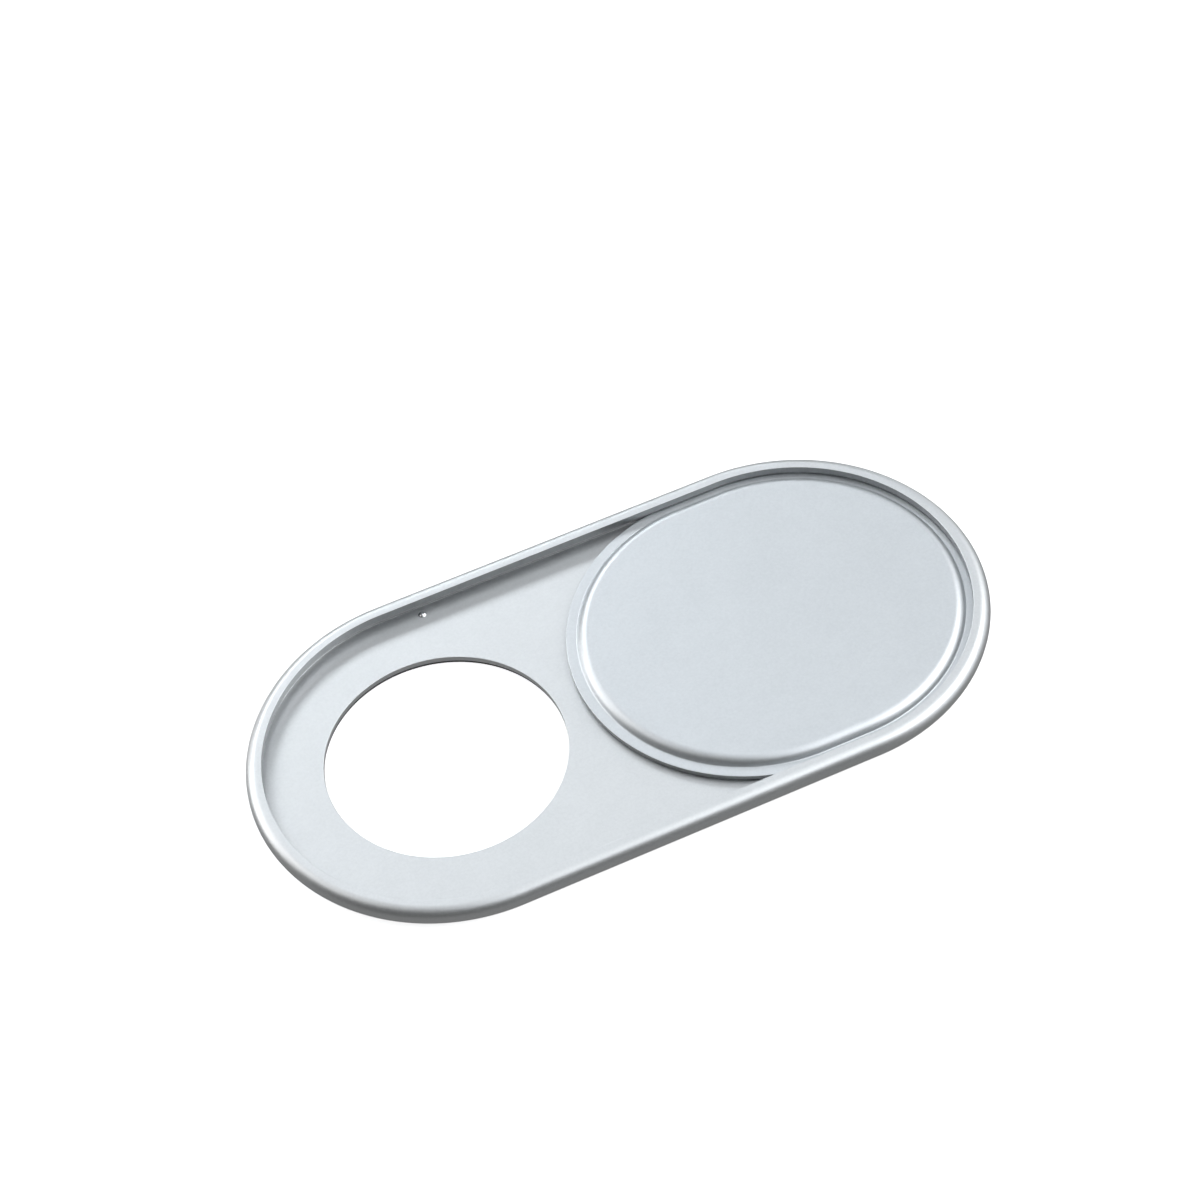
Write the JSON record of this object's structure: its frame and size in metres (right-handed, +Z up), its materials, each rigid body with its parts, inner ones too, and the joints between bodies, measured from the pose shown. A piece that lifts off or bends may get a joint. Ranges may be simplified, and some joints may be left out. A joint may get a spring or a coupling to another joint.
{
  "type": "webcam cover slider",
  "caption": "Thin oval stick-on webcam cover: a pressed metal slider runs under the rolled rim of a metal frame to open or close a round camera aperture.",
  "frame": {"origin": "on the pad's sticky side, under the middle of the oval frame", "axes": "+Z up out of the screen bezel, X along the slide with the camera aperture at -X and the open slider at +X, Y across"},
  "size_m": [0.018, 0.0092, 0.0006],
  "materials": {
    "frame_metal": "satin silver, fine blasted grain",
    "slider_metal": "satin silver, fine blasted grain",
    "adhesive": "matt dark grey adhesive tape"
  },
  "bodies": {
    "base": {"base_frame": "frame_metal", "adhesive_pad": "adhesive"},
    "shutter": {"slider": "slider_metal"}
  },
  "joints": [
    {"name": "slider_travel", "type": "slide", "parent": "base", "child": "shutter", "axis": [1, 0, 0], "range_m": [-0.00768, 0]}
  ]
}
